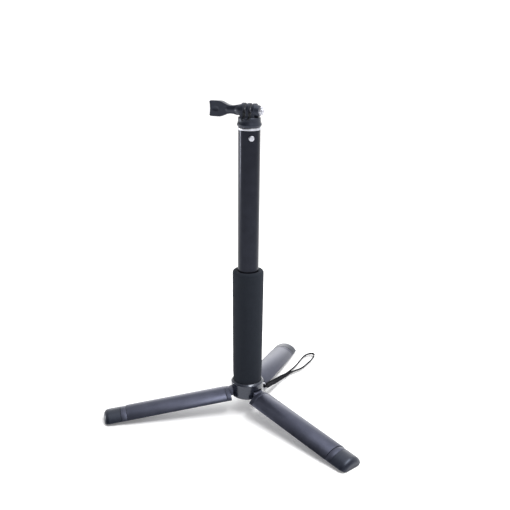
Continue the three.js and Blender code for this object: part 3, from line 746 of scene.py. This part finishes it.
def add_legs():
    """Each leg's profile, end block, eye, cap, tread and band."""
    outer = leg_section(LEG_R, LEG_CORE_R)
    inner = evened(leg_section(LEG_R, LEG_CORE_R, LEG_WALL, 0.5), len(outer))
    outer = evened(outer, len(outer))
    fitting = evened(leg_section(LEG_R - 0.6, LEG_CORE_R + 0.3), LOOP_POINTS)
    for i, azimuth in enumerate(LEG_AZIMUTHS):
        body = f"leg_{i + 1}"
        place = on_leg(azimuth)

        def add(name, node, shape, look, angle, slot):
            new_piece(f"{body}_{name}", moved(shape, place), body, look, (f"{body}_{node}",),
                      angle)

        add("profile", "tube", hollow(outer, inner, TUBE_START, TUBE_END, 0.25),
            "leg", 30, "leg_metal")
        add("end_block", "knuckle", end_block(), "leg", 30, "leg_metal")
        eye = hinge_eye()
        eye.transform(Matrix.Scale(MM, 4) @ place @ Matrix.Scale(1 / MM, 4))
        finish_piece(f"{body}_eye", eye, body, "leg", (), 40)
        add("cap", "foot_cap", foot(CAP_START, LEG_END - 0.02, SOLE_TOP, 60),
            "rubber", 50, "rubber")
        add("tread", "sole", foot(CAP_START + 0.5, LEG_END - 0.3, 0.02, SOLE_TOP - TREAD_GAP),
            "rubber", 30, "rubber")
        add("band", "end_fitting", prism(fitting, TUBE_END + 0.15, CAP_START - 0.25, 0.3),
            "leg", 30, "leg_metal")


add_legs()


# -------------------------------------------------------------- pole and grip

# Each tube's node, piece, body, inner radius and outer radius.
TUBES = (
    ("outer_tube", "outer_pole", "pole", 10.75, 11.65),
    ("section_2_tube", "section_2_pole", "section_2", 8.2, 8.8),
    ("section_3_tube", "section_3_pole", "section_3", 6.6, 7.2),
    ("section_4_tube", "section_4_pole", "section_4", 5.0, 5.6),
)
TUBE_EDGE = 0.15
BUTTON_Z = 320.9
BUTTON_AZIMUTH = 282
BUTTON_HOLE_R = 3.05


def span(node):
    """The bottom and top of a node, in millimetres."""
    low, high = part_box(node)
    return low[2] / MM, high[2] / MM


def out_of_pole():
    """From the button's own axes, Z straight out of the pole, to the frame's."""
    place = Matrix.Translation((0, 0, BUTTON_Z))
    turn = Matrix.Rotation(math.radians(BUTTON_AZIMUTH), 4, "Z")
    return place @ turn @ Matrix.Rotation(math.radians(90), 4, "Y")


def add_grip():
    """The foam sleeve: soft round shoulders and a slightly uneven skin."""
    low, high = span("foam_grip")
    inner, neck, waist, full, shoulder = 11.7, 15.95, 16.7, 17.35, 2.6
    start, end = low + 1.5, high - 3.2
    outline = [(inner, low), (neck - 0.3, low), (neck - 0.1, low + 0.5)]
    for k in range(40):
        t = k / 39
        z = start + (end - start) * t
        r = neck + (waist - neck) * smoothstep(z, low + 2, low + 17) + (full - waist) * t
        outline.append((r + 0.04 * math.sin(z * 0.31) + 0.03 * math.sin(z * 0.13 + 1), z))
    outline += arc(full - shoulder, high - shoulder, shoulder - 0.02, 5, 90, 10)
    outline += [(inner + 0.7, high), (inner + 0.2, high - 0.25), (inner, high - 0.8)]
    grip = new_piece("foam_sleeve", lathe(outline, 128), "pole", "foam", ("foam_grip",), 60)


def add_tubes():
    """The four tubes; the outer one has a hole for the button."""
    for node, name, body, inner, outer in TUBES:
        low, high = span(node)
        outline = [(inner, low + TUBE_EDGE), (inner + TUBE_EDGE, low),
                   (outer - TUBE_EDGE, low), (outer, low + TUBE_EDGE),
                   (outer, high - TUBE_EDGE), (outer - TUBE_EDGE, high),
                   (inner + TUBE_EDGE, high), (inner, high - TUBE_EDGE)]
        mesh = mesh_of(name, *lathe(outline, 128))
        if node == "outer_tube":
            hole = lathe([(0, 6), (BUTTON_HOLE_R, 6), (BUTTON_HOLE_R, 20), (0, 20)], 64)
            mesh = carved(mesh, [moved(hole, out_of_pole())])
        finish_piece(name, mesh, body, "anodised", (node,), 30)


def add_ring():
    """The bright ring at the mouth: a rim on a narrower skirt inside the tube."""
    low, high = span("trim_ring")
    bore, skirt, rim = 8.95, 10.65, 11.75
    step = high - 2.35
    outline = filleted([(bore, low, 0), (skirt, low, 0), (skirt, step, 0), (rim, step, 0.3),
                        (rim, high, 0.6), (bore, high, 0.4)], 0.3, 4)
    new_piece("mouth_ring", lathe(outline, 128), "pole", "steel", ("trim_ring",), 30)


def add_button():
    """The button: a flange inside the tube and a round head through its hole."""
    flange_r, head_r, edge = 3.75, 2.72, 0.5
    profile = [(0, 10.47), (flange_r, 10.47), (flange_r, 10.62), (head_r, 10.64)]
    profile += arc(head_r - edge, 12.14, edge, 0, 80, 5)
    profile += [(1.5, 12.63), (0, 12.64)]
    new_piece("release_button", moved(lathe(profile, 64), out_of_pole()), "button", "steel",
              ("lock_button",), 30)


def add_mouldings():
    """The fork, the knob and the hub, whose upper edge is first cut to a slope."""
    slope = lathe([(19.6, 36.77), (19.6, 39.9), (16.5, 39.9), (16.5, 39.62)], 180)
    moulded("fork", "head_fork", "head", "plastic", 0.22, 3)
    moulded("paddle_knob", "thumb_knob", "thumb_screw", "plastic", 0.28, 4)
    moulded("hub_cup", "hub_body", "tripod_hub", "hub", 0.25, 3, [slope])
    moulded("hub_underside", "hub_cover", "tripod_hub", "hub", 0.3, 2)


add_grip()
add_tubes()
add_ring()
add_button()
add_mouldings()


# --------------------------------------------------------------------- stage

def add_area(name, place, aim, size, power):
    """A softbox at a place, turned towards another."""
    data = bpy.data.lights.new(name, "AREA")
    data.shape = "RECTANGLE"
    data.size, data.size_y = size
    data.energy = power
    lamp = bpy.data.objects.new(name, data)
    SCENE.collection.objects.link(lamp)
    lamp.location = place
    lamp.rotation_mode = "QUATERNION"
    lamp.rotation_quaternion = (Vector(aim) - Vector(place)).to_track_quat("-Z", "Y")


def add_floor():
    """A plain pale floor that glows faintly: painted light that lifts the shadows cast on it."""
    half = 30
    mesh = bpy.data.meshes.new("floor")
    mesh.from_pydata([(-half, -half, 0), (half, -half, 0), (half, half, 0), (-half, half, 0)],
                     [], [(0, 1, 2, 3)])
    floor = bpy.data.objects.new("floor", mesh)
    SCENE.collection.objects.link(floor)
    self_lit_paint = bpy.data.materials.new("floor")
    self_lit_paint.use_nodes = True
    shader = self_lit_paint.node_tree.nodes["Principled BSDF"]
    shader.inputs["Base Color"].default_value = (0.93, 0.93, 0.935, 1)
    shader.inputs["Roughness"].default_value = 0.9
    shader.inputs["Specular IOR Level"].default_value = 0.1
    # The faint glow is painted light: it brightens the floor's shadows without any lamp.
    shader.inputs["Emission Color"].default_value = (1, 0.995, 1, 1)
    shader.inputs["Emission Strength"].default_value = 0.17
    mesh.materials.append(self_lit_paint)


def add_lights():
    """A wide soft sun overhead, and two softboxes for the highlights."""
    sun = bpy.data.lights.new("overhead", "SUN")
    sun.energy = 0.5
    sun.angle = math.radians(40)
    lamp = bpy.data.objects.new("overhead", sun)
    SCENE.collection.objects.link(lamp)
    add_area("key", (0.47, -0.2, 1.2), (0, 0, 0.03), (1.1, 0.28), 13.0)
    add_area("left strip", (-1.3, 0.36, 0.17), (0, 0, 0.2), (0.07, 0.34), 4.5)


def add_sky():
    """White all round for the camera; for the light, darker in front and brighter behind."""
    world = bpy.data.worlds.new("studio")
    SCENE.world = world
    world.use_nodes = True
    tree = world.node_tree
    backdrop = tree.nodes["Background"]
    backdrop.inputs["Color"].default_value = (1, 1, 1, 1)
    way = tree.nodes.new("ShaderNodeSeparateXYZ")
    tree.links.new(tree.nodes.new("ShaderNodeTexCoord").outputs["Generated"], way.inputs[0])

    def rise(axis, start, end, low, high):
        step = tree.nodes.new("ShaderNodeMapRange")
        step.interpolation_type = "SMOOTHSTEP"
        tree.links.new(way.outputs[axis], step.inputs["Value"])
        for key, value in zip(("From Min", "From Max", "To Min", "To Max"),
                              (start, end, low, high)):
            step.inputs[key].default_value = value
        return step.outputs["Result"]

    def total(a, b):
        add = tree.nodes.new("ShaderNodeMath")
        tree.links.new(a, add.inputs[0])
        tree.links.new(b, add.inputs[1])
        return add.outputs[0]

    light = total(rise("Y", -0.6, 0.8, 0.3, 1.3), rise("Z", 0.2, 1.0, 0.0, 0.3))
    light = total(light, rise("X", -0.9, 0.3, -0.6, 0.05))
    light = total(light, rise("Y", 0.86, 0.98, 0.0, 2.4))
    seen = tree.nodes.new("ShaderNodeLightPath").outputs["Is Camera Ray"]
    mix = tree.nodes.new("ShaderNodeMix")
    tree.links.new(seen, mix.inputs[0])
    tree.links.new(light, mix.inputs[2])
    mix.inputs[3].default_value = 1.3
    tree.links.new(mix.outputs[0], backdrop.inputs["Strength"])


add_floor()
add_sky()
add_lights()
SCENE.view_settings.view_transform = "Standard"
